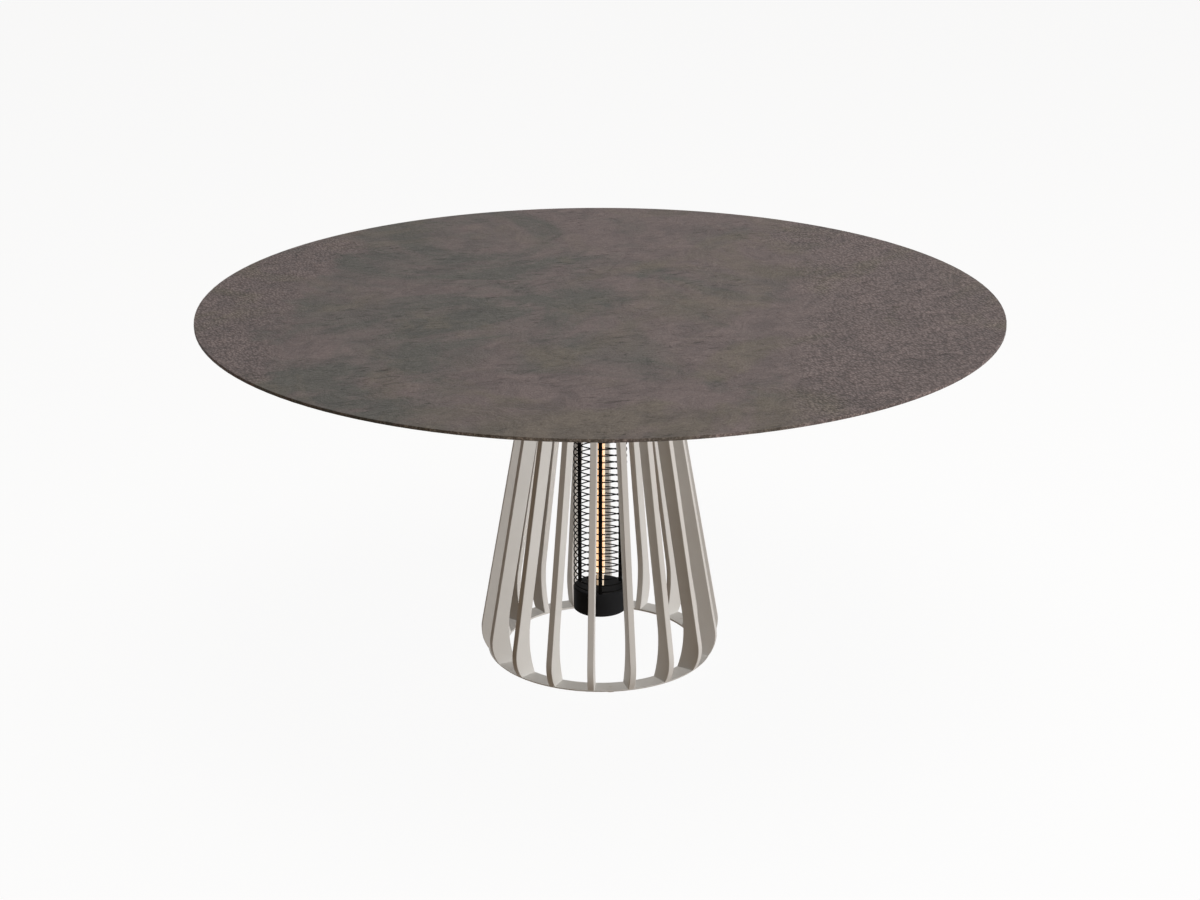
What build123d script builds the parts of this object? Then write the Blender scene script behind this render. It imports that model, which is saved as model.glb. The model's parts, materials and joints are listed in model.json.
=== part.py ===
from build123d import *
import os
from math import cos, radians, sin, sqrt, tan

# Round dining table on a flared cage of upright fins, with an infrared heater hanging inside the cage.
# Millimetres and degrees. The origin is on the floor under the middle of the top, +Z is up.
# Angles run round the table from the front (-Y) towards +X. The first fin stands at the front.

# Table top and the steel disc that carries it
table_height = 750.0
top_diameter = 1616.0
top_thickness = 13.0
top_edge_height = 6.2
top_bevel_width = 18.0
top_arris = 0.6
disc_diameter = 800.0
disc_thickness = 6.0
disc_rim_chamfer = 2.0
insert_count = 8
insert_circle_diameter = 700.0
insert_diameter = 9.0
insert_depth = 9.0

# Fin cage
fin_count = 18
fin_thickness = 13.0
fin_width = 30.0
fin_flare = 10.1
fin_top_radius = 132.0
fin_outer_bend_height = 60.0
fin_inner_bend_height = 122.0
fin_edge_chamfer = 0.8
ring_outer_radius = 236.0
ring_width = 38.0
ring_thickness = 4.0
ring_bevel = 3.0
plate_thickness = 8.0
plate_hole_radius = 66.0
plate_bolt_count = 6
plate_bolt_circle_radius = 84.0
glide_count = 6
glide_diameter = 26.0
glide_height = 3.0
glide_spigot_diameter = 8.0

# Heater hung on the table's axis: two round casings with the lamp and its guard between them
heater_turn = 5.0
drum_floor_gap = 90.0
drum_height = 50.0
head_height = 62.0
lamp_zone_height = 432.0
casing_radius = 56.0
casing_wall = 3.0
casing_chamfer = 2.0
casing_end_thickness = 4.0
casing_screw_count = 3
cover_thickness = 4.0
ledge_width = 10.0
ledge_height = 6.0
hanger_tube_radius = 17.0
hanger_tube_wall = 3.0
hanger_flange_radius = 58.0
hanger_flange_thickness = 4.0
hanger_collar_radius = 24.0
hanger_collar_height = 5.0
hanger_screw_count = 3
hanger_screw_circle_radius = 46.0
hanger_nut_radius = 26.0
hanger_nut_height = 9.0

# Lamp and its guard
tube_radius = 10.0
tube_wall = 1.2
tube_shoulder = 1.5
tube_end_thickness = 2.0
tube_neck_radius = 4.0
filament_width = 5.0
filament_thickness = 0.8
lamp_cap_radius = 7.7
lamp_cap_height = 28.0
socket_wall = 9.0
socket_height = 16.0
socket_depth = 11.0
socket_screw_count = 2
bar_count = 3
bar_radius = 4.0
bar_wall = 1.0
guard_wire_radius = 1.25
guard_inset = 1.5
guard_turns = 30

# Cable entry, switch and control board
gland_thread_radius = 8.0
gland_flange_radius = 10.5
gland_flange_thickness = 4.0
gland_dome_length = 11.0
gland_dome_tip_radius = 6.0
gland_bore_radius = 3.5
gland_nut_radius = 11.5
gland_nut_thickness = 4.0
board_radius = 37.0
board_thickness = 1.6
board_post_count = 3
board_post_radius = 3.0
board_post_circle_radius = 30.0
board_post_height = 13.0
switch_width = 12.0
switch_height = 4.0
plunger_radius = 2.0
plunger_height = 1.4
button_radius = 8.7
button_proud = 1.6
button_flange_radius = 11.0
button_flange_thickness = 1.5
button_stem_radius = 2.5
button_travel = 2.0

# Fasteners, by thread radius
top_screw_radius = 3.0
fin_screw_radius = 3.0
fin_screw_bite = 16.0
plate_bolt_radius = 4.0
hanger_screw_radius = 2.5
casing_screw_radius = 1.5
socket_screw_bite = 2.0
bolt_head_height = 3.6

# Clearances
thread_gap = 0.1
clearance_gap = 0.4
slip_gap = 0.25
button_gap = 0.3
weld_gap = 0.05
screw_end_gap = 1.0

# Levels worked out from the sizes above
ring_bottom = glide_height
ring_top = ring_bottom + ring_thickness
top_underside = table_height - top_thickness
disc_underside = top_underside - disc_thickness
fin_top = disc_underside - plate_thickness
drum_bottom = drum_floor_gap
drum_top = drum_bottom + drum_height
head_bottom = drum_top + lamp_zone_height
head_top = head_bottom + head_height
hanger_flange_bottom = disc_underside - hanger_flange_thickness
cover_top = drum_bottom + cover_thickness
board_bottom = cover_top + board_post_height

# Radii and pitches worked out from the sizes above
fin_pitch = 360 / fin_count
bar_pitch = 360 / bar_count
fin_slope = tan(radians(fin_flare))
ring_inner_radius = ring_outer_radius - ring_width
fin_foot_middle = ring_outer_radius - ring_width / 2
fin_top_middle = fin_top_radius - fin_width / 2
casing_inner_radius = casing_radius - casing_wall
ledge_radius = casing_inner_radius - ledge_width
casing_screw_circle_radius = casing_inner_radius - ledge_width / 2
hanger_bore_radius = hanger_tube_radius - hanger_tube_wall
cap_hole_radius = lamp_cap_radius + slip_gap
socket_radius = cap_hole_radius + socket_wall
socket_screw_circle_radius = cap_hole_radius + socket_wall / 2
guard_radius = casing_radius - guard_inset
guard_first_height = guard_wire_radius + weld_gap
guard_pitch = (lamp_zone_height - 2 * guard_first_height) / guard_turns
bar_circle_radius = guard_radius - guard_wire_radius - weld_gap - bar_radius

# The screws of the casings go half a pitch round from the bars
casing_screw_angle = heater_turn + bar_pitch / 2

# The cable comes in at the back of the head, where a shape made along +Z is laid out along the radius
gland_height = (head_bottom + casing_end_thickness + head_top - cover_thickness - ledge_height) / 2
gland_place = Pos(0, 0, gland_height) * Rot(0, 0, 180) * Rot(90, 0, 0)

# The upright half plane at the front: its first axis is the radius, its second the height
front_section = Plane(origin=(0, 0, 0), x_dir=(0, -1, 0), z_dir=(-1, 0, 0))


def turned(*points):
    """A solid of revolution about the table's axis, from points of radius and height."""
    outline = make_face(Polyline(*points, close=True))
    return revolve(front_section * outline, Axis.Z)


def rod(radius, low, high):
    """An upright round bar on the axis, between two heights."""
    return turned((0, low), (radius, low), (radius, high), (0, high))


def tube(outer, inner, low, high):
    """An upright tube on the axis, between two heights."""
    return turned((inner, low), (outer, low), (outer, high), (inner, high))


def at(radius, angle, z=0):
    """A place on a circle about the axis, turned to face outwards."""
    turn = radians(angle)
    return Location((radius * sin(turn), -radius * cos(turn), z), (0, 0, angle))


def ring_of(shape, count, radius, first_angle=0, z=0):
    """Copies of a shape, evenly spaced on a circle about the axis."""
    return [at(radius, first_angle + i * 360 / count, z) * shape for i in range(count)]


def countersunk(radius, length, gap=0):
    """A countersunk screw pointing up from its flat head at height 0, or with a gap the hole for one."""
    head = 2 * radius + gap
    shank = radius + gap
    return turned((0, 0), (head, 0), (shank, head - shank), (shank, length), (0, length))


def socket_screw(radius, length):
    """A round-headed screw that points up, with its head under height 0 and a hexagon socket."""
    head = 1.75 * radius
    shoulder = bolt_head_height / 3
    body = turned((0, -bolt_head_height), (head - shoulder, -bolt_head_height), (head, -shoulder),
                  (head, 0), (radius, 0), (radius, length), (0, length))
    socket = extrude(RegularPolygon(0.7 * radius, 6), bolt_head_height / 2)
    return body - Pos(0, 0, -bolt_head_height) * socket


upside_down = Rot(180, 0, 0)


# Table top

def table_top():
    rim = top_diameter / 2
    # The edge is thin, because the underside is bevelled up to it all round.
    slab = turned((0, top_underside), (rim - top_bevel_width, top_underside),
                  (rim, table_height - top_edge_height), (rim, table_height - top_arris),
                  (rim - top_arris, table_height), (0, table_height))
    pocket = rod(insert_diameter / 2 + thread_gap, 0, insert_depth)
    return slab - ring_of(pocket, insert_count, insert_circle_diameter / 2, z=top_underside)


def top_inserts():
    insert = tube(insert_diameter / 2, top_screw_radius + thread_gap, 0, insert_depth)
    return Compound(ring_of(insert, insert_count, insert_circle_diameter / 2, z=top_underside))


def support_disc():
    rim = disc_diameter / 2
    disc = turned((0, disc_underside), (rim - disc_rim_chamfer, disc_underside),
                  (rim, disc_underside + disc_rim_chamfer), (rim, top_underside), (0, top_underside))
    top_hole = rod(top_screw_radius + clearance_gap, 0, disc_thickness)
    bolt_hole = rod(plate_bolt_radius + thread_gap, 0, disc_thickness)
    hanger_hole = rod(hanger_screw_radius + thread_gap, 0, disc_thickness)
    holes = ring_of(top_hole, insert_count, insert_circle_diameter / 2, z=disc_underside)
    holes += ring_of(bolt_hole, plate_bolt_count, plate_bolt_circle_radius, z=disc_underside)
    holes += ring_of(hanger_hole, hanger_screw_count, hanger_screw_circle_radius, heater_turn, disc_underside)
    return disc - holes


def disc_screws():
    screw = socket_screw(top_screw_radius, disc_thickness + insert_depth - screw_end_gap)
    return Compound(ring_of(screw, insert_count, insert_circle_diameter / 2, z=disc_underside))


# Fin cage

def fin():
    """One blade: a straight flare that swells at the foot and curls back in under itself to the ring."""
    outer_bend = ring_top + fin_outer_bend_height
    inner_bend = ring_top + fin_inner_bend_height
    fin_inner_top = fin_top_radius - fin_width
    top_outside = (fin_top_radius, fin_top)
    top_inside = (fin_inner_top, fin_top)
    bend_outside = (fin_top_radius + (fin_top - outer_bend) * fin_slope, outer_bend)
    bend_inside = (fin_inner_top + (fin_top - inner_bend) * fin_slope, inner_bend)
    foot_outside = (ring_outer_radius, ring_top)
    foot_inside = (ring_inner_radius, ring_top)
    down_the_flare = (fin_slope, -1)
    outline = [
        Line(top_inside, top_outside),
        Line(top_outside, bend_outside),
        TangentArc(bend_outside, foot_outside, tangent=down_the_flare),
        Line(foot_outside, foot_inside),
        TangentArc(bend_inside, foot_inside, tangent=down_the_flare),
        Line(bend_inside, top_inside),
    ]
    side = front_section * make_face(outline)
    blade = extrude(side, fin_thickness / 2, both=True)
    sides = blade.faces().filter_by(Axis.X)
    ends = blade.faces().filter_by(Axis.Z)
    long_edges = sides.edges() - ends.edges()
    blade = chamfer(long_edges, fin_edge_chamfer)
    hole_depth = fin_screw_bite + screw_end_gap
    hole = rod(fin_screw_radius + thread_gap, 0, hole_depth)
    top_hole = at(fin_top_middle, 0, fin_top) * upside_down * hole
    foot_hole = at(fin_foot_middle, 0, ring_top) * hole
    return blade - top_hole - foot_hole


def base_ring():
    ring = turned((ring_inner_radius, ring_bottom), (ring_outer_radius - ring_bevel, ring_bottom),
                  (ring_outer_radius, ring_bottom + ring_bevel), (ring_outer_radius, ring_top),
                  (ring_inner_radius, ring_top))
    screw_hole = countersunk(fin_screw_radius, ring_thickness, thread_gap)
    glide_hole = rod(glide_spigot_diameter / 2 + thread_gap, 0, ring_thickness)
    holes = ring_of(screw_hole, fin_count, fin_foot_middle, z=ring_bottom)
    holes += ring_of(glide_hole, glide_count, fin_foot_middle, fin_pitch / 2, ring_bottom)
    return ring - holes


def fin_foot_screws():
    screw = countersunk(fin_screw_radius, ring_thickness + fin_screw_bite)
    return Compound(ring_of(screw, fin_count, fin_foot_middle, z=ring_bottom))


def floor_glides():
    edge = glide_height / 3
    pad = glide_diameter / 2
    spigot = glide_spigot_diameter / 2
    glide = turned((0, 0), (pad - edge, 0), (pad, edge), (pad, glide_height), (spigot, glide_height),
                   (spigot, glide_height + ring_thickness), (0, glide_height + ring_thickness))
    return Compound(ring_of(glide, glide_count, fin_foot_middle, fin_pitch / 2))


def fin_top_plate():
    plate = tube(fin_top_radius, plate_hole_radius, fin_top, disc_underside)
    screw_hole = upside_down * countersunk(fin_screw_radius, plate_thickness, thread_gap)
    bolt_hole = rod(plate_bolt_radius + clearance_gap, 0, plate_thickness)
    holes = ring_of(screw_hole, fin_count, fin_top_middle, z=disc_underside)
    holes += ring_of(bolt_hole, plate_bolt_count, plate_bolt_circle_radius, z=fin_top)
    return plate - holes


def fin_top_screws():
    screw = upside_down * countersunk(fin_screw_radius, plate_thickness + fin_screw_bite)
    return Compound(ring_of(screw, fin_count, fin_top_middle, z=disc_underside))


def plate_bolts():
    bolt = socket_screw(plate_bolt_radius, plate_thickness + disc_thickness)
    return Compound(ring_of(bolt, plate_bolt_count, plate_bolt_circle_radius, z=fin_top))


# Heater: casings

def casing(height):
    """A round cup with its closed end at height 0 and its mouth below, where a ledge takes a cover."""
    rim = casing_radius - casing_chamfer
    end_inside = -casing_end_thickness
    mouth = -height
    ledge_bottom = mouth + cover_thickness
    ledge_top = ledge_bottom + ledge_height
    cup = turned((cap_hole_radius, 0), (rim, 0), (casing_radius, -casing_chamfer),
                 (casing_radius, mouth + casing_chamfer), (rim, mouth), (casing_inner_radius, mouth),
                 (casing_inner_radius, ledge_bottom), (ledge_radius, ledge_bottom), (ledge_radius, ledge_top),
                 (casing_inner_radius, ledge_top), (casing_inner_radius, end_inside),
                 (cap_hole_radius, end_inside))
    thread = casing_screw_radius + thread_gap
    cover_hole = rod(thread, ledge_bottom, ledge_top)
    bar_hole = rod(bar_radius + slip_gap, end_inside, 0)
    socket_hole = rod(thread, end_inside, end_inside + socket_screw_bite + screw_end_gap)
    holes = ring_of(cover_hole, casing_screw_count, casing_screw_circle_radius, casing_screw_angle)
    holes += ring_of(bar_hole, bar_count, bar_circle_radius, heater_turn)
    holes += ring_of(socket_hole, socket_screw_count, socket_screw_circle_radius, heater_turn)
    return cup - holes


def in_drum(shape):
    """Puts what is made about a casing's closed end into the drum, whose closed end is its top."""
    return Pos(0, 0, drum_top) * shape


def in_head(shape):
    """Puts what is made about a casing's closed end into the head, whose closed end is its floor."""
    return mirror(Pos(0, 0, -head_bottom) * shape, Plane.XY)


def heater_drum():
    return in_drum(casing(drum_height))


def heater_head():
    entry = rod(gland_thread_radius + thread_gap, ledge_radius, casing_radius)
    return in_head(casing(head_height)) - gland_place * entry


# Heater: hanger and lid

def hanger():
    tube_end = head_top - cover_thickness - hanger_nut_height - screw_end_gap
    collar_top = head_top + hanger_collar_height
    post = turned((hanger_bore_radius, tube_end), (hanger_tube_radius, tube_end),
                  (hanger_tube_radius, head_top), (hanger_collar_radius, head_top),
                  (hanger_collar_radius, collar_top), (hanger_tube_radius, collar_top),
                  (hanger_tube_radius, hanger_flange_bottom), (hanger_flange_radius, hanger_flange_bottom),
                  (hanger_flange_radius, disc_underside), (hanger_bore_radius, disc_underside))
    hole = countersunk(hanger_screw_radius, hanger_flange_thickness, thread_gap)
    holes = ring_of(hole, hanger_screw_count, hanger_screw_circle_radius, heater_turn, hanger_flange_bottom)
    return post - holes


def hanger_screws():
    screw = countersunk(hanger_screw_radius, hanger_flange_thickness + disc_thickness)
    places = ring_of(screw, hanger_screw_count, hanger_screw_circle_radius, heater_turn, hanger_flange_bottom)
    return Compound(places)


def hanger_nut():
    nut_bottom = head_top - cover_thickness - hanger_nut_height
    blank = extrude(RegularPolygon(hanger_nut_radius, 6), hanger_nut_height)
    bore = rod(hanger_tube_radius + thread_gap, 0, hanger_nut_height)
    return Pos(0, 0, nut_bottom) * (blank - bore)


def head_lid():
    bore = hanger_tube_radius + thread_gap
    lid = tube(casing_inner_radius - slip_gap, bore, head_top - cover_thickness, head_top)
    hole = upside_down * countersunk(casing_screw_radius, cover_thickness, thread_gap)
    return lid - ring_of(hole, casing_screw_count, casing_screw_circle_radius, casing_screw_angle, head_top)


def lid_screws():
    screw = upside_down * countersunk(casing_screw_radius, cover_thickness + ledge_height - screw_end_gap)
    places = ring_of(screw, casing_screw_count, casing_screw_circle_radius, casing_screw_angle, head_top)
    return Compound(places)


# Heater: cable entry

def gland_nut_face():
    """Distance from the axis at which the flat nut meets the curved inside of the head."""
    return sqrt(casing_inner_radius**2 - gland_nut_radius**2) - weld_gap


def cable_gland():
    inner_end = gland_nut_face() - gland_nut_thickness - screw_end_gap
    flange_end = casing_radius + gland_flange_thickness
    dome_end = flange_end + gland_dome_length
    body = turned((gland_bore_radius, inner_end), (gland_thread_radius, inner_end),
                  (gland_thread_radius, casing_radius), (gland_flange_radius, casing_radius),
                  (gland_flange_radius, flange_end), (gland_thread_radius, flange_end),
                  (gland_thread_radius, (flange_end + dome_end) / 2), (gland_dome_tip_radius, dome_end),
                  (gland_bore_radius, dome_end))
    return gland_place * body


def gland_nut():
    blank = extrude(RegularPolygon(gland_nut_radius, 6), gland_nut_thickness)
    bore = rod(gland_thread_radius + thread_gap, 0, gland_nut_thickness)
    return gland_place * Pos(0, 0, gland_nut_face() - gland_nut_thickness) * (blank - bore)


# Heater: lamp and guard

def lamp_socket():
    """A ceramic socket screwed under a casing's closed end, for a lamp cap that comes in from above."""
    top = -casing_end_thickness
    bottom = top - socket_height
    seat = top - socket_depth
    body = turned((0, bottom), (socket_radius, bottom), (socket_radius, top), (cap_hole_radius, top),
                  (cap_hole_radius, seat), (0, seat))
    hole = rod(casing_screw_radius + clearance_gap, bottom, top)
    return body - ring_of(hole, socket_screw_count, socket_screw_circle_radius, heater_turn)


def socket_screws():
    screw = socket_screw(casing_screw_radius, socket_height + socket_screw_bite)
    socket_bottom = -casing_end_thickness - socket_height
    pair = ring_of(screw, socket_screw_count, socket_screw_circle_radius, heater_turn, socket_bottom)
    return Compound([in_drum(s) for s in pair] + [in_head(s) for s in pair])


def lamp_cap():
    """The ceramic end of the lamp, from the socket's seat out through the casing to the quartz."""
    return rod(lamp_cap_radius, -casing_end_thickness - socket_depth, lamp_cap_height)


def quartz_tube():
    """The lamp's tube, closed at both ends but for the necks that the filament passes through."""
    low = drum_top + lamp_cap_height
    high = head_bottom - lamp_cap_height
    end_radius = tube_radius - tube_shoulder
    bore = tube_radius - tube_wall
    return turned((tube_neck_radius, low), (end_radius, low), (tube_radius, low + tube_shoulder),
                  (tube_radius, high - tube_shoulder), (end_radius, high), (tube_neck_radius, high),
                  (tube_neck_radius, high - tube_end_thickness), (bore, high - tube_end_thickness),
                  (bore, low + tube_end_thickness), (tube_neck_radius, low + tube_end_thickness))


def filament():
    """The flat carbon ribbon, facing the front, from cap to cap."""
    length = lamp_zone_height - 2 * lamp_cap_height
    middle = (drum_top + head_bottom) / 2
    return Pos(0, 0, middle) * Rot(0, 0, heater_turn) * Box(filament_width, filament_thickness, length)


def guard_bar():
    """A tube that stands in the ends of both casings and takes the wires from one to the other."""
    return tube(bar_radius, bar_radius - bar_wall, drum_top - casing_end_thickness,
                head_bottom + casing_end_thickness)


def guard_coil():
    """One wire wound round the bars from casing to casing, rising clockwise as seen from above."""
    path = Helix(guard_pitch, guard_turns * guard_pitch, guard_radius, lefthand=True)
    wire_end = Plane(origin=path @ 0, z_dir=path % 0)
    wire = sweep(wire_end * Circle(guard_wire_radius), path, is_frenet=True)
    # The helix starts on +X, a quarter turn on from the front; its two ends lie against the second bar
    start_turn = heater_turn + bar_pitch - 90
    return Pos(0, 0, drum_top + guard_first_height) * Rot(0, 0, start_turn) * wire


# Heater: cover, switch and board

def drum_cover():
    cover = tube(casing_inner_radius - slip_gap, button_radius + button_gap, drum_bottom, cover_top)
    hole = countersunk(casing_screw_radius, cover_thickness, thread_gap)
    holes = ring_of(hole, casing_screw_count, casing_screw_circle_radius, casing_screw_angle, drum_bottom)
    post = rod(board_post_radius, cover_top, board_bottom)
    posts = ring_of(post, board_post_count, board_post_circle_radius, heater_turn)
    return cover - holes + posts


def cover_screws():
    screw = countersunk(casing_screw_radius, cover_thickness + ledge_height - screw_end_gap)
    places = ring_of(screw, casing_screw_count, casing_screw_circle_radius, casing_screw_angle, drum_bottom)
    return Compound(places)


def control_board():
    return rod(board_radius, board_bottom, board_bottom + board_thickness)


def button_switch():
    body = Pos(0, 0, board_bottom - switch_height / 2) * Box(switch_width, switch_width, switch_height)
    plunger_top = board_bottom - switch_height
    return body + rod(plunger_radius, plunger_top - plunger_height, plunger_top)


def power_button():
    """A push button that stands proud of the cover and is kept in by the flange behind it."""
    face = drum_bottom - button_proud
    edge = button_proud / 2
    flange_bottom = cover_top + button_gap
    flange_top = flange_bottom + button_flange_thickness
    plunger_end = board_bottom - switch_height - plunger_height
    stem_top = plunger_end - button_travel - button_gap
    return turned((0, face), (button_radius - edge, face), (button_radius, face + edge),
                  (button_radius, flange_bottom), (button_flange_radius, flange_bottom),
                  (button_flange_radius, flange_top), (button_stem_radius, flange_top),
                  (button_stem_radius, stem_top), (0, stem_top))


# Every node of the table, by name

def all_parts():
    parts = {
        "table_top": table_top(),
        "top_inserts": top_inserts(),
        "support_disc": support_disc(),
        "disc_screws": disc_screws(),
        "base_ring": base_ring(),
        "floor_glides": floor_glides(),
        "fin_foot_screws": fin_foot_screws(),
        "fin_top_plate": fin_top_plate(),
        "fin_top_screws": fin_top_screws(),
        "plate_bolts": plate_bolts(),
        "hanger": hanger(),
        "hanger_screws": hanger_screws(),
        "hanger_nut": hanger_nut(),
        "head_lid": head_lid(),
        "lid_screws": lid_screws(),
        "heater_head": heater_head(),
        "cable_gland": cable_gland(),
        "gland_nut": gland_nut(),
        "upper_lamp_socket": in_head(lamp_socket()),
        "upper_lamp_cap": in_head(lamp_cap()),
        "quartz_tube": quartz_tube(),
        "filament": filament(),
        "lower_lamp_cap": in_drum(lamp_cap()),
        "lower_lamp_socket": in_drum(lamp_socket()),
        "socket_screws": socket_screws(),
        "guard_coil": guard_coil(),
        "heater_drum": heater_drum(),
        "drum_cover": drum_cover(),
        "cover_screws": cover_screws(),
        "control_board": control_board(),
        "button_switch": button_switch(),
        "power_button": power_button(),
    }
    blade = fin()
    for i in range(fin_count):
        parts[f"fin_{i + 1:02d}"] = Rot(0, 0, i * fin_pitch) * blade
    for i in range(bar_count):
        parts[f"guard_bar_{i + 1}"] = at(bar_circle_radius, heater_turn + i * bar_pitch) * guard_bar()
    return parts


os.makedirs("parts", exist_ok=True)
for name, shape in all_parts().items():
    export_step(shape, f"parts/{name}.step")
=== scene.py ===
import bpy
import bmesh
import json
from math import atan2, cos, pi, radians, sin
from mathutils import Matrix, Vector


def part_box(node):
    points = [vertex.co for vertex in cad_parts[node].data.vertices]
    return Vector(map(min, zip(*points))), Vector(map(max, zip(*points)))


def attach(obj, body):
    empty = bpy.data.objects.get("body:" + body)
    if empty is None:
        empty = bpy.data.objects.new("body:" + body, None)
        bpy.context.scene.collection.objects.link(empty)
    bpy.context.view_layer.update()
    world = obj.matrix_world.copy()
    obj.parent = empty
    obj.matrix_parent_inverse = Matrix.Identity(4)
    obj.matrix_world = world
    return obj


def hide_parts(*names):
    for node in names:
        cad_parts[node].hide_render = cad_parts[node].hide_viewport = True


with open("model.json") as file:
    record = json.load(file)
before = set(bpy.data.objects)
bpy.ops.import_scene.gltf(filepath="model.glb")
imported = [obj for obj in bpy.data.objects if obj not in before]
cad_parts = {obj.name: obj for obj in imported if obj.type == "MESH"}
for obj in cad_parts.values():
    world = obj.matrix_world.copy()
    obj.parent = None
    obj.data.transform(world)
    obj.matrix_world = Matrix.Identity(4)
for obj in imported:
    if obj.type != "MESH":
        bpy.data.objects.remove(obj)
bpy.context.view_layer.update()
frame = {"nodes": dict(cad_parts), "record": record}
nodes = frame["nodes"]
slotOf = {part["node"]: part["material_slot"] for part in frame["record"]["subparts"]}
print("frame loaded:", len(nodes), "pieces")


# short ways to lay out a node tree; in the looks below a noise is its scale, detail, roughness and
# warp, and a relief is its strength and its height in metres

noiseSpread = (0.3, 0.7)  # most of a noise lies between these


def newFinish(name):
    mat = bpy.data.materials.new(name)
    mat.use_nodes = True
    tree = mat.node_tree
    tree.nodes.clear()
    out = tree.nodes.new("ShaderNodeOutputMaterial")
    shader = tree.nodes.new("ShaderNodeBsdfPrincipled")
    tree.links.new(shader.outputs["BSDF"], out.inputs["Surface"])
    return mat, tree, shader


def plugIn(tree, socket, value):  # a number or a colour is set, another node's output is linked
    if isinstance(value, (int, float)):
        socket.default_value = value
    elif isinstance(value, tuple):
        socket.default_value = (*value, 1)
    else:
        tree.links.new(value, socket)


def placeCoords(tree, stretch=(1, 1, 1), turn=0):  # draws a texture out by stretch, along the turned axes
    coord = tree.nodes.new("ShaderNodeTexCoord")
    mapping = tree.nodes.new("ShaderNodeMapping")
    mapping.vector_type = "TEXTURE"
    mapping.inputs["Scale"].default_value = stretch
    mapping.inputs["Rotation"].default_value = (0, 0, radians(turn))
    tree.links.new(coord.outputs["Object"], mapping.inputs["Vector"])
    return mapping.outputs["Vector"]


def takeAxis(tree, vector, axis):
    node = tree.nodes.new("ShaderNodeSeparateXYZ")
    tree.links.new(vector, node.inputs[0])
    return node.outputs[axis]


def addNoise(tree, where, scale, detail, rough, warp=0.0):
    noise = tree.nodes.new("ShaderNodeTexNoise")
    noise.inputs["Scale"].default_value = scale
    noise.inputs["Detail"].default_value = detail
    noise.inputs["Roughness"].default_value = rough
    noise.inputs["Distortion"].default_value = warp
    tree.links.new(where, noise.inputs["Vector"])
    return noise.outputs["Fac"]


def addRamp(tree, factor, stops):
    ramp = tree.nodes.new("ShaderNodeValToRGB")
    points = ramp.color_ramp.elements
    while len(points) < len(stops):
        points.new(0.5)
    for point, (place, colour) in zip(points, stops):
        point.position = place
        point.color = (*colour, 1)
    tree.links.new(factor, ramp.inputs["Fac"])
    return ramp.outputs["Color"]


def addTones(tree, factor, tones):  # a ramp of greys to tint a colour with
    return addRamp(tree, factor, [(place, (level, level, level)) for place, level in tones])


def addTwoTone(tree, factor, stops, first, second):
    return addRamp(tree, factor, ((stops[0], first), (stops[1], second)))


def addRange(tree, factor, fromLow, fromHigh, toLow, toHigh):
    node = tree.nodes.new("ShaderNodeMapRange")
    node.inputs["From Min"].default_value = fromLow
    node.inputs["From Max"].default_value = fromHigh
    node.inputs["To Min"].default_value = toLow
    node.inputs["To Max"].default_value = toHigh
    tree.links.new(factor, node.inputs["Value"])
    return node.outputs["Result"]


def addMix(tree, kind, amount, first, second):
    node = tree.nodes.new("ShaderNodeMix")
    node.data_type = "RGBA"
    node.blend_type = kind
    plugIn(tree, node.inputs["Factor"], amount)
    plugIn(tree, node.inputs[6], first)  # 6 and 7 are its colour sockets
    plugIn(tree, node.inputs[7], second)
    return node.outputs[2]


def addTint(tree, amount, colour, tone):
    return addMix(tree, "MULTIPLY", amount, colour, tone)


def addBlend(tree, amount, colour, other):
    return addMix(tree, "MIX", amount, colour, other)


def addMath(tree, kind, first, second=0.0):
    node = tree.nodes.new("ShaderNodeMath")
    node.operation = kind
    plugIn(tree, node.inputs[0], first)
    plugIn(tree, node.inputs[1], second)
    return node.outputs[0]


def addRough(tree, shader, factor, rough, spread=noiseSpread):
    plugIn(tree, shader.inputs["Roughness"], addRange(tree, factor, *spread, *rough))


def addBump(tree, shader, height, strength, distance, before=None):
    bump = tree.nodes.new("ShaderNodeBump")
    bump.inputs["Strength"].default_value = strength
    bump.inputs["Distance"].default_value = distance
    tree.links.new(height, bump.inputs["Height"])
    if before:
        tree.links.new(before, bump.inputs["Normal"])
    tree.links.new(bump.outputs["Normal"], shader.inputs["Normal"])
    return bump.outputs["Normal"]


def addGlow(tree, shader, look):
    plugIn(tree, shader.inputs["Emission Color"], look["glowColour"])
    shader.inputs["Emission Strength"].default_value = look["glow"]


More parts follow.
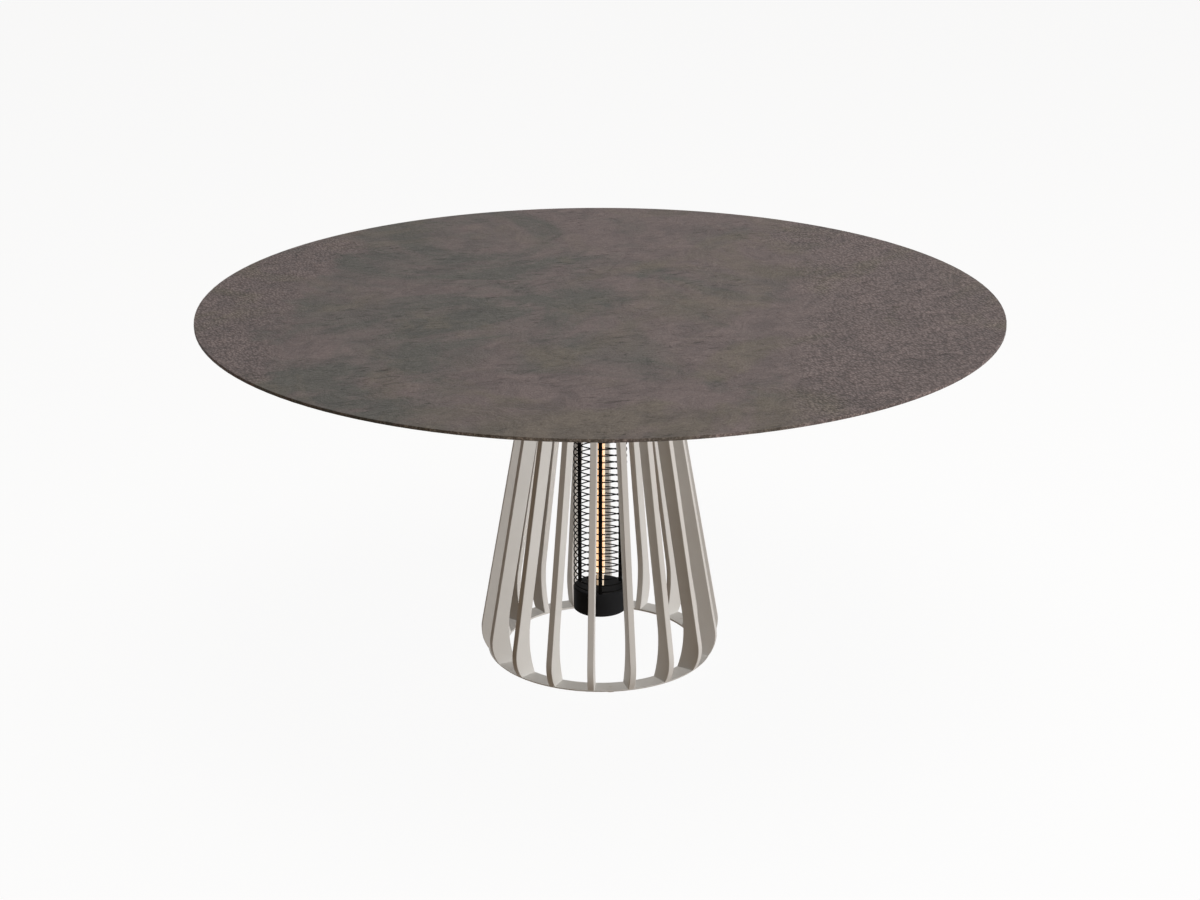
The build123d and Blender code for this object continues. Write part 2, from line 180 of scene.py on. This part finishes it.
# the top: stone in ragged clouds of mauve brown, green grey and ochre, with short dark strokes brushed
# over parts of it; towards the two ends its skin is pebbled like leather, with painted light on the pebble
# tops and painted shade in their seams, and its cut edge is chipped
slabLook = {
    "green": (0.0915, 0.0900, 0.0835),
    "brown": (0.1440, 0.1190, 0.1170),
    "clouds": (2.1, 9, 0.66, 1.1),
    "cloudStops": (0.40, 0.53),
    "drift": 0.17,  # greener to the left, browner to the right
    "endDrift": 0.19,  # and browner at both ends
    "ochre": (0.1300, 0.1155, 0.0960),
    "ochreClouds": (3.1, 7, 0.64, 0.8),
    "ochreShare": (0.50, 0.62, 0.0, 0.8),  # two levels of the noise and their shares
    "mottle": (15.0, 8, 0.70, 0.8),
    "mottleTones": ((0.38, 0.72), (0.50, 1.0), (0.62, 1.18)),
    "mottleShare": 0.9,
    "mottleStretch": 1.25,
    "mottleTurn": 70,
    "mottleRelief": (0.45, 0.012),
    "strokes": (85.0, 5, 0.64, 1.0),
    "strokeTones": ((0.34, 0.42), (0.44, 1.0), (0.66, 1.14)),
    "strokeStretch": 3.0,
    "strokeTurn": 24,
    "strokeRelief": (0.7, 0.003),
    "brushed": (4.2, 4, 0.6),
    "brushedShare": (0.40, 0.58, 0.15, 0.85),
    "grain": (330.0, 3, 0.6),
    "grainTones": ((0.36, 0.74), (0.50, 1.0), (0.64, 1.24)),
    "grainShare": 0.8,
    "pebbleScale": 195.0,
    "pebbleSoftness": 0.4,
    "pebbleStretch": 1.7,
    # pebble tops lighter and their seams darker: painted light and shade of the pebbled relief
    "pebbleLightAndShade": ((0.10, 1.38), (0.36, 1.15), (0.62, 0.72)),
    "pebbleRelief": (0.8, -0.0016),
    "smoothMiddle": -0.115,  # the smooth part lies a little to the left
    "smoothReach": (0.46, 0.54),  # metres from there to the first and to the full pebbles
    "rag": (4.5, 5, 0.6),
    "ragReach": (-0.08, 0.08),  # metres that this border wanders
    "edgeFacing": (0.2, 0.5),  # the cut edge is where the skin faces up or down less than this
    "chips": (240.0, 2, 0.6),
    "chipTones": ((0.42, 0.80), (0.54, 1.0), (0.62, 1.75)),
    "rough": (0.58, 0.76),
    "specular": 0.10,
}


def stoneFinish():
    look = slabLook
    mat, tree, shader = newFinish("top_stone")
    flat = placeCoords(tree)
    along = takeAxis(tree, flat, "X")
    fromMiddle = addMath(tree, "ABSOLUTE", addMath(tree, "SUBTRACT", along, look["smoothMiddle"]))
    ragged = addRange(tree, addNoise(tree, flat, *look["rag"]), *noiseSpread, *look["ragReach"])
    ends = addRange(tree, addMath(tree, "ADD", fromMiddle, ragged), *look["smoothReach"], 0.0, 1.0)

    clouds = addNoise(tree, flat, *look["clouds"])
    clouds = addMath(tree, "ADD", clouds, addMath(tree, "MULTIPLY", along, look["drift"]))
    clouds = addMath(tree, "ADD", clouds, addMath(tree, "MULTIPLY", ends, look["endDrift"]))
    colour = addTwoTone(tree, clouds, look["cloudStops"], look["green"], look["brown"])

    drawn = placeCoords(tree, stretch=(look["mottleStretch"], 1, 1), turn=look["mottleTurn"])
    ochre = addRange(tree, addNoise(tree, drawn, *look["ochreClouds"]), *look["ochreShare"])
    colour = addBlend(tree, ochre, colour, look["ochre"])
    mottle = addNoise(tree, drawn, *look["mottle"])
    colour = addTint(tree, look["mottleShare"], colour, addTones(tree, mottle, look["mottleTones"]))

    slanted = placeCoords(tree, stretch=(look["strokeStretch"], 1, 1), turn=look["strokeTurn"])
    strokes = addNoise(tree, slanted, *look["strokes"])
    brushed = addRange(tree, addNoise(tree, flat, *look["brushed"]), *look["brushedShare"])
    colour = addTint(tree, brushed, colour, addTones(tree, strokes, look["strokeTones"]))
    grain = addNoise(tree, flat, *look["grain"])
    colour = addTint(tree, look["grainShare"], colour, addTones(tree, grain, look["grainTones"]))

    cells = tree.nodes.new("ShaderNodeTexVoronoi")
    cells.feature = "SMOOTH_F1"
    cells.inputs["Scale"].default_value = look["pebbleScale"]
    cells.inputs["Smoothness"].default_value = look["pebbleSoftness"]
    deep = placeCoords(tree, stretch=(1, look["pebbleStretch"], 1), turn=look["strokeTurn"])
    tree.links.new(deep, cells.inputs["Vector"])
    pebbles = cells.outputs["Distance"]
    # towards the ends: painted light on the pebble tops and painted shade in their seams
    colour = addTint(tree, ends, colour, addTones(tree, pebbles, look["pebbleLightAndShade"]))

    normal = tree.nodes.new("ShaderNodeTexCoord").outputs["Normal"]
    facingUp = addMath(tree, "ABSOLUTE", takeAxis(tree, normal, "Z"))
    edge = addRange(tree, facingUp, *look["edgeFacing"], 1.0, 0.0)
    chips = addNoise(tree, flat, *look["chips"])
    colour = addTint(tree, edge, colour, addTones(tree, chips, look["chipTones"]))

    plugIn(tree, shader.inputs["Base Color"], colour)
    addRough(tree, shader, mottle, look["rough"])
    shader.inputs["Specular IOR Level"].default_value = look["specular"]
    relief = addBump(tree, shader, mottle, *look["mottleRelief"])
    strokeHeight = addMath(tree, "MULTIPLY", strokes, brushed)
    relief = addBump(tree, shader, strokeHeight, *look["strokeRelief"], relief)
    pebbleHeight = addMath(tree, "MULTIPLY", pebbles, ends)
    addBump(tree, shader, pebbleHeight, *look["pebbleRelief"], relief)
    return mat


# fins, base ring and fin plate: warm light grey powder coat
paintLook = {
    "colour": (0.605, 0.594, 0.577),
    "deep": (0.575, 0.562, 0.542),
    "tone": (6.0, 3, 0.5),
    "toneStops": (0.35, 0.65),
    "fleck": (1800.0, 2, 0.6),
    "flecks": ((0.35, (0.95, 0.95, 0.94)), (0.65, (1.03, 1.03, 1.02))),
    "fleckShare": 0.8,
    "peel": (900.0, 2, 0.5),
    "relief": (0.12, 0.0003),
    "rough": (0.42, 0.55),
    "specular": 0.25,
}


def paintFinish():
    look = paintLook
    mat, tree, shader = newFinish("fin_paint")
    where = placeCoords(tree)
    tone = addNoise(tree, where, *look["tone"])
    colour = addTwoTone(tree, tone, look["toneStops"], look["deep"], look["colour"])
    flecks = addRamp(tree, addNoise(tree, where, *look["fleck"]), look["flecks"])
    plugIn(tree, shader.inputs["Base Color"], addTint(tree, look["fleckShare"], colour, flecks))
    peel = addNoise(tree, where, *look["peel"])
    addRough(tree, shader, peel, look["rough"])
    shader.inputs["Specular IOR Level"].default_value = look["specular"]
    addBump(tree, shader, peel, *look["relief"])
    return mat


# black coats of the heater, its guard and the disc: fine-grained, each with its own depth and sheen
blackLook = {
    "heater_black": {"colour": (0.0145, 0.0150, 0.0162), "worn": (0.0180, 0.0186, 0.0200),
                     "rough": (0.44, 0.56), "specular": 0.015},
    "guard_black": {"colour": (0.0020, 0.0018, 0.0017), "worn": (0.0040, 0.0036, 0.0034),
                    "rough": (0.48, 0.60), "specular": 0.03},
    "disc_black": {"colour": (0.0150, 0.0150, 0.0150), "worn": (0.0220, 0.0220, 0.0220),
                   "rough": (0.62, 0.78), "specular": 0.20},
}
blackCoat = {"tone": (22.0, 4, 0.6), "toneStops": (0.4, 0.75), "grain": (1600.0, 3, 0.6),
             "relief": (0.15, 0.0002)}


def blackFinish(slot):
    look = {**blackCoat, **blackLook[slot]}
    mat, tree, shader = newFinish(slot)
    where = placeCoords(tree)
    tone = addNoise(tree, where, *look["tone"])
    colour = addTwoTone(tree, tone, look["toneStops"], look["colour"], look["worn"])
    plugIn(tree, shader.inputs["Base Color"], colour)
    grain = addNoise(tree, where, *look["grain"])
    addRough(tree, shader, grain, look["rough"])
    shader.inputs["Specular IOR Level"].default_value = look["specular"]
    addBump(tree, shader, grain, *look["relief"])
    return mat


# lamp tube: quartz gone milky from the heat, with a faint painted glow on the glass that stands for the
# coil's light scattered in it
quartzLook = {"tint": (0.99, 0.95, 0.90), "milk": (0.97, 0.88, 0.76), "milkStops": (0.4, 0.8),
              "haze": (90.0, 4, 0.6), "hazeLength": 5, "hazeSpread": (0.35, 0.75), "rough": (0.10, 0.26),
              "bending": 1.46, "glowColour": (1.0, 0.64, 0.36), "glow": 0.20}


def quartzFinish():
    look = quartzLook
    mat, tree, shader = newFinish("quartz")
    haze = addNoise(tree, placeCoords(tree, stretch=(1, 1, look["hazeLength"])), *look["haze"])
    colour = addTwoTone(tree, haze, look["milkStops"], look["tint"], look["milk"])
    plugIn(tree, shader.inputs["Base Color"], colour)
    addRough(tree, shader, haze, look["rough"], look["hazeSpread"])
    shader.inputs["Transmission Weight"].default_value = 1.0
    shader.inputs["IOR"].default_value = look["bending"]
    # painted glow: the glass itself gives no light
    addGlow(tree, shader, look)
    return mat


# heating coil: carbon ribbon at full heat, a little cooler in patches
coilHeat = {"cool": (1.0, 0.40, 0.14), "hot": (1.0, 0.60, 0.31), "heatStops": (0.3, 0.6),
            "heat": (140.0, 3, 0.6), "glow": 0.95, "rough": 0.8,
            "soot": ((0.3, (0.02, 0.02, 0.02)), (0.7, (0.05, 0.04, 0.035)))}


def coilFinish():
    look = coilHeat
    mat, tree, shader = newFinish("carbon_glow")
    heat = addNoise(tree, placeCoords(tree), *look["heat"])
    glowColour = addTwoTone(tree, heat, look["heatStops"], look["cool"], look["hot"])
    addGlow(tree, shader, {"glowColour": glowColour, "glow": look["glow"]})
    plugIn(tree, shader.inputs["Base Color"], addRamp(tree, heat, look["soot"]))
    shader.inputs["Roughness"].default_value = look["rough"]
    return mat


# bare metals: screws, nut and inserts, with fine turned marks
metalLook = {
    "zinc_steel": {"colour": (0.56, 0.57, 0.59), "dull": (0.44, 0.45, 0.48), "rough": (0.28, 0.46),
                   "stretch": (1, 1, 1), "marks": (700.0, 4, 0.6)},
    "insert_brass": {"colour": (0.69, 0.50, 0.20), "dull": (0.56, 0.39, 0.14), "rough": (0.28, 0.44),
                     "stretch": (1, 1, 0.3), "marks": (600.0, 4, 0.6)},
}
metalSkin = {"stops": (0.35, 0.65), "relief": (0.08, 0.0002)}


def metalFinish(slot):
    look = {**metalSkin, **metalLook[slot]}
    mat, tree, shader = newFinish(slot)
    marks = addNoise(tree, placeCoords(tree, stretch=look["stretch"]), *look["marks"])
    colour = addTwoTone(tree, marks, look["stops"], look["dull"], look["colour"])
    plugIn(tree, shader.inputs["Base Color"], colour)
    addRough(tree, shader, marks, look["rough"])
    shader.inputs["Metallic"].default_value = 1.0
    addBump(tree, shader, marks, *look["relief"])
    return mat


# mouldings and fired pieces: two tones of one colour with a fine grain; the lamp's caps, next to the coil,
# carry a painted glow that stands for the coil's light falling on them
mouldLook = {
    "lamp_ceramic": {"colour": (0.80, 0.74, 0.64), "fleck": (0.72, 0.66, 0.56), "rough": (0.65, 0.80),
                     "grain": (900.0, 3, 0.6)},
    # the lamp caps: their cream, with a painted glow for the coil's light falling on them
    "warm_lamp_cap": {"colour": (0.60, 0.53, 0.43), "fleck": (0.54, 0.47, 0.38), "rough": (0.65, 0.80),
                      "grain": (900.0, 3, 0.6), "glowColour": (1.0, 0.72, 0.46), "glow": 0.40},
    "glide_nylon": {"colour": (0.56, 0.54, 0.50), "fleck": (0.50, 0.48, 0.44), "rough": (0.55, 0.70),
                    "grain": (500.0, 3, 0.6)},
    "gland_plastic": {"colour": (0.010, 0.010, 0.010), "fleck": (0.016, 0.016, 0.016),
                      "rough": (0.48, 0.62), "grain": (1300.0, 3, 0.6)},
    "switch_plastic": {"colour": (0.030, 0.030, 0.032), "fleck": (0.042, 0.042, 0.044),
                       "rough": (0.40, 0.52), "grain": (1300.0, 3, 0.6)},
    "button_plastic": {"colour": (0.090, 0.090, 0.092), "fleck": (0.120, 0.120, 0.122),
                       "rough": (0.42, 0.56), "grain": (1500.0, 3, 0.6)},
}
mouldSkin = {"stops": (0.4, 0.7), "relief": (0.15, 0.0002)}


def mouldFinish(slot):
    look = {**mouldSkin, **mouldLook[slot]}
    mat, tree, shader = newFinish(slot)
    grain = addNoise(tree, placeCoords(tree), *look["grain"])
    colour = addTwoTone(tree, grain, look["stops"], look["colour"], look["fleck"])
    plugIn(tree, shader.inputs["Base Color"], colour)
    addRough(tree, shader, grain, look["rough"])
    addBump(tree, shader, grain, *look["relief"])
    # only the lamp caps carry a glow: painted light from the coil
    if "glow" in look:
        addGlow(tree, shader, look)
    return mat


# control board: green solder mask over copper tracks
boardLook = {"mask": (0.012, 0.075, 0.030), "track": (0.030, 0.150, 0.060), "stops": (0.45, 0.55),
             "pitch": 260.0, "rough": (0.25, 0.38), "relief": (0.1, 0.0002)}


def boardFinish():
    look = boardLook
    mat, tree, shader = newFinish("board_green")
    cells = tree.nodes.new("ShaderNodeTexVoronoi")
    cells.distance = "MANHATTAN"
    cells.inputs["Scale"].default_value = look["pitch"]
    tree.links.new(placeCoords(tree), cells.inputs["Vector"])
    tracks = cells.outputs["Distance"]
    colour = addTwoTone(tree, tracks, look["stops"], look["mask"], look["track"])
    plugIn(tree, shader.inputs["Base Color"], colour)
    addRough(tree, shader, tracks, look["rough"])
    addBump(tree, shader, tracks, *look["relief"])
    return mat


finishes = {"top_stone": stoneFinish(), "fin_paint": paintFinish(), "quartz": quartzFinish(),
            "carbon": coilFinish(), "board_green": boardFinish()}
for slot in blackLook:
    finishes[slot] = blackFinish(slot)
for slot in metalLook:
    finishes[slot] = metalFinish(slot)
for slot in mouldLook:
    finishes[slot] = mouldFinish(slot)
for name, obj in nodes.items():
    obj.data.materials.clear()
    obj.data.materials.append(finishes[slotOf[name]])
# the lamp caps take the finish with the painted glow of the coil's light
for name in ("lower_lamp_cap", "upper_lamp_cap"):
    nodes[name].data.materials[0] = finishes["warm_lamp_cap"]
print("finishes set:", len(finishes))


# pieces that the solids leave plain

def addPiece(name, bm, slot):
    mesh = bpy.data.meshes.new(name)
    bm.to_mesh(mesh)
    bm.free()
    mesh.shade_smooth()
    mesh.materials.append(finishes[slot])
    obj = bpy.data.objects.new(name, mesh)
    bpy.context.scene.collection.objects.link(obj)
    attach(obj, "table")
    return obj


# heating coil: a flat ribbon wound just inside the quartz; at each end an arm runs in to a straight lead
coilLook = {"radius": 0.0077, "pitch": 0.0052, "width": 0.0036, "thickness": 0.0003, "steps": 24,
            "lead": 0.010, "leadRadius": 0.0014, "armRadius": 0.0010, "rodSides": 12}


def addRod(bm, start, end, radius, sides):
    run = end - start
    place = Matrix.Translation((start + end) / 2) @ run.to_track_quat("Z", "Y").to_matrix().to_4x4()
    bmesh.ops.create_cone(bm, cap_ends=True, segments=sides, radius1=radius, radius2=radius,
                          depth=run.length, matrix=place)


def windCoil():
    look = coilLook
    low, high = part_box("filament")
    axis = (low + high) / 2
    start, end = low.z + look["lead"], high.z - look["lead"]
    turns = (end - start) / look["pitch"]
    count = int(turns * look["steps"])
    corners = [(across * look["thickness"] / 2, along * look["width"] / 2)
               for across, along in ((-1, -1), (1, -1), (1, 1), (-1, 1))]
    bm = bmesh.new()
    sections = []
    for i in range(count + 1):
        angle = 2 * pi * turns * i / count
        out = Vector((cos(angle), sin(angle), 0))
        spot = Vector((axis.x, axis.y, start + (end - start) * i / count))
        sections.append([bm.verts.new(spot + out * (look["radius"] + across) + Vector((0, 0, along)))
                         for across, along in corners])
    for near, far in zip(sections, sections[1:]):
        for side in range(len(corners)):
            after = (side + 1) % len(corners)
            bm.faces.new((near[side], far[side], far[after], near[after]))
    bm.faces.new(sections[0])
    bm.faces.new(reversed(sections[-1]))
    for tip, height, angle in ((low.z, start, 0), (high.z, end, 2 * pi * turns)):
        hub = Vector((axis.x, axis.y, height))
        arm = Vector((cos(angle), sin(angle), 0)) * look["radius"]
        addRod(bm, Vector((axis.x, axis.y, tip)), hub, look["leadRadius"], look["rodSides"])
        addRod(bm, hub, hub + arm, look["armRadius"], look["rodSides"])
    coil = addPiece("heating_coil", bm, "carbon")
    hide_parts("filament")


windCoil()
print("heating coil wound")


# weld beads: one above and one below the guard wire where it crosses a bar; wire is the wire's radius,
# sink and rise are shares of it
beadLook = {"length": 0.0032, "depth": 0.0012, "height": 0.0013, "wire": 0.00125, "turns": 30,
            "sink": 0.75, "rise": 0.7}


def weldBeads():
    look = beadLook
    low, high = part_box("guard_coil")
    pitch = (high.z - low.z - 2 * look["wire"]) / look["turns"]
    wireRadius = (high.x - low.x) / 2 - look["wire"]
    bars = [sum(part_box("guard_bar_%d" % n), Vector()) / 2 for n in (1, 2, 3)]
    startAngle = atan2(bars[1].y, bars[1].x)  # the wire starts at the second bar and runs clockwise
    size = Matrix.Diagonal((look["length"], look["depth"], look["height"], 1))
    bm = bmesh.new()
    for bar in bars:
        out = Vector((bar.x, bar.y, 0)).normalized()
        side = Vector((out.y, -out.x, 0))
        frameOfBead = Matrix((side, out, Vector((0, 0, 1)))).transposed().to_4x4()
        lag = ((startAngle - atan2(bar.y, bar.x)) / (2 * pi)) % 1
        for i in range(look["turns"]):
            z = low.z + look["wire"] + (i + lag) * pitch
            for level in (-look["rise"], look["rise"]):
                spot = out * (wireRadius - look["wire"] * look["sink"])
                spot.z = z + level * look["wire"]
                if low.z < spot.z < high.z:
                    place = Matrix.Translation(spot) @ frameOfBead @ size
                    bmesh.ops.create_icosphere(bm, subdivisions=1, radius=0.5, matrix=place)
    addPiece("guard_weld_beads", bm, "guard_black")


weldBeads()
print("weld beads added")


# hexagon drives: dark inlays, painted shade that stands for the sunken sockets in the countersunk heads
# seen from below
driveShadeLook = {"share": 0.5, "depth": 0.0006, "proud": 0.00004, "weld": 0.000002, "level": 0.00001}


def looseParts(obj):
    bm = bmesh.new()
    bm.from_mesh(obj.data)
    bmesh.ops.remove_doubles(bm, verts=bm.verts, dist=driveShadeLook["weld"])
    todo = dict.fromkeys(bm.verts)  # kept in order, so that each run gives the same
    parts = []
    while todo:
        stack = [todo.popitem()[0]]
        part = []
        while stack:
            vert = stack.pop()
            part.append(vert.co.copy())
            for edge in vert.link_edges:
                other = edge.other_vert(vert)
                if other in todo:
                    del todo[other]
                    stack.append(other)
        parts.append(part)
    bm.free()
    return parts


def hexDriveShades(node):
    look = driveShadeLook
    bm = bmesh.new()
    for part in looseParts(nodes[node]):
        bottom = min(co.z for co in part)
        rim = [co for co in part if co.z < bottom + look["level"]]
        middle = sum(part, Vector()) / len(part)
        radius = look["share"] * max((co.xy - middle.xy).length for co in rim)
        spot = Matrix.Translation((middle.x, middle.y, bottom - look["proud"] + look["depth"] / 2))
        bmesh.ops.create_cone(bm, cap_ends=True, segments=6, radius1=radius, radius2=radius,
                              depth=look["depth"], matrix=spot)
    # the inlays take the black coat: painted shade of the socket recesses
    drives = addPiece(node + "_drive_shade", bm, "guard_black")
    drives.data.shade_flat()


for node in ("fin_foot_screws", "cover_screws", "hanger_screws"):
    hexDriveShades(node)
print("screw drives added")


# floor: white to the eye, with a soft shadow, and clear from below; it hands a little warm light back up
floorLook = {"size": 60.0, "colour": (0.44, 0.325, 0.22), "seenColour": (0.95, 0.95, 0.95),
             "shadowShare": 0.08}


def seenDirectly(tree, share):  # share where the camera, a mirror or glass looks, 0 where light is gathered
    path = tree.nodes.new("ShaderNodeLightPath")
    first = addMath(tree, "MAXIMUM", path.outputs["Is Camera Ray"], path.outputs["Is Glossy Ray"])
    either = addMath(tree, "MAXIMUM", first, path.outputs["Is Transmission Ray"])
    return addMath(tree, "MULTIPLY", either, share)


def mixShaders(tree, share, first, second):
    node = tree.nodes.new("ShaderNodeMixShader")
    tree.links.new(share, node.inputs[0])
    tree.links.new(first.outputs[0], node.inputs[1])
    tree.links.new(second.outputs[0], node.inputs[2])
    return node


def layFloor():
    look = floorLook
    bpy.ops.mesh.primitive_plane_add(size=look["size"])
    floor = bpy.context.object
    floor.name = "studio_floor"
    mat = bpy.data.materials.new("studio_white")
    mat.use_nodes = True
    tree = mat.node_tree
    tree.nodes.clear()
    out = tree.nodes.new("ShaderNodeOutputMaterial")
    matte = tree.nodes.new("ShaderNodeBsdfDiffuse")
    matteColour = addBlend(tree, seenDirectly(tree, 1.0), look["colour"], look["seenColour"])
    tree.links.new(matteColour, matte.inputs["Color"])
    white = tree.nodes.new("ShaderNodeEmission")
    above = mixShaders(tree, seenDirectly(tree, 1 - look["shadowShare"]), matte, white)
    below = tree.nodes.new("ShaderNodeBsdfTransparent")
    fromBelow = tree.nodes.new("ShaderNodeNewGeometry").outputs["Backfacing"]
    tree.links.new(mixShaders(tree, fromBelow, above, below).outputs[0], out.inputs["Surface"])
    floor.data.materials.append(mat)


# sky: white where it is looked at, a dim warm fill where light is gathered
skyLook = {"colour": (1.0, 0.74, 0.50), "fill": 0.138, "seenColour": (1.0, 1.0, 1.0)}


def hangSky():
    look = skyLook
    world = bpy.data.worlds.new("studio_sky")
    bpy.context.scene.world = world
    world.use_nodes = True
    tree = world.node_tree
    tree.nodes.clear()
    out = tree.nodes.new("ShaderNodeOutputWorld")
    fill = tree.nodes.new("ShaderNodeBackground")
    fill.inputs["Strength"].default_value = look["fill"]
    plugIn(tree, fill.inputs["Color"], look["colour"])
    seen = tree.nodes.new("ShaderNodeBackground")
    plugIn(tree, seen.inputs["Color"], look["seenColour"])
    sky = mixShaders(tree, seenDirectly(tree, 1.0), fill, seen)
    tree.links.new(sky.outputs[0], out.inputs["Surface"])


# a far key from the right that throws no shadow between the fins, and a softbox over the top that does
lampLook = {
    "right_key": {"at": (11.75, -5.5, 5.65), "aim": (0, 0, 0.4), "size": (5.0, 4.0), "power": 1780.0,
                  "colour": (1.0, 1.0, 1.0), "shadow": False},
    "overhead_softbox": {"at": (0.5, 0.2, 4.2), "aim": (0, 0, 0.75), "size": (3.5, 3.5), "power": 66.0,
                         "colour": (1.0, 0.985, 0.97), "shadow": True},
}


def placeLamps():
    for name, look in lampLook.items():
        data = bpy.data.lights.new(name, "AREA")
        data.shape = "RECTANGLE"
        data.size, data.size_y = look["size"]
        data.energy = look["power"]
        data.color = look["colour"]
        data.use_shadow = look["shadow"]
        lamp = bpy.data.objects.new(name, data)
        bpy.context.scene.collection.objects.link(lamp)
        lamp.location = look["at"]
        run = Vector(look["aim"]) - Vector(look["at"])
        lamp.rotation_euler = run.to_track_quat("-Z", "Y").to_euler()


# camera: set from the ellipse of the top and the spread of the fins
cameraLook = {"turn": 4.5, "tilt": 19.737, "reach": 4.6383, "height": 2.1044, "lens": 71.90, "sensor": 36,
              "shift": -0.00015}


def placeCamera():
    look = cameraLook
    data = bpy.data.cameras.new("photo_camera")
    data.lens = look["lens"]
    data.sensor_width = look["sensor"]
    data.shift_x = look["shift"]
    camera = bpy.data.objects.new("photo_camera", data)
    bpy.context.scene.collection.objects.link(camera)
    turn = radians(look["turn"])
    camera.location = (look["reach"] * sin(turn), -look["reach"] * cos(turn), look["height"])
    camera.rotation_euler = (radians(90 - look["tilt"]), 0, turn)
    bpy.context.scene.camera = camera


layFloor()
hangSky()
placeLamps()
placeCamera()
bpy.context.scene.view_settings.view_transform = "Standard"
print("studio ready")
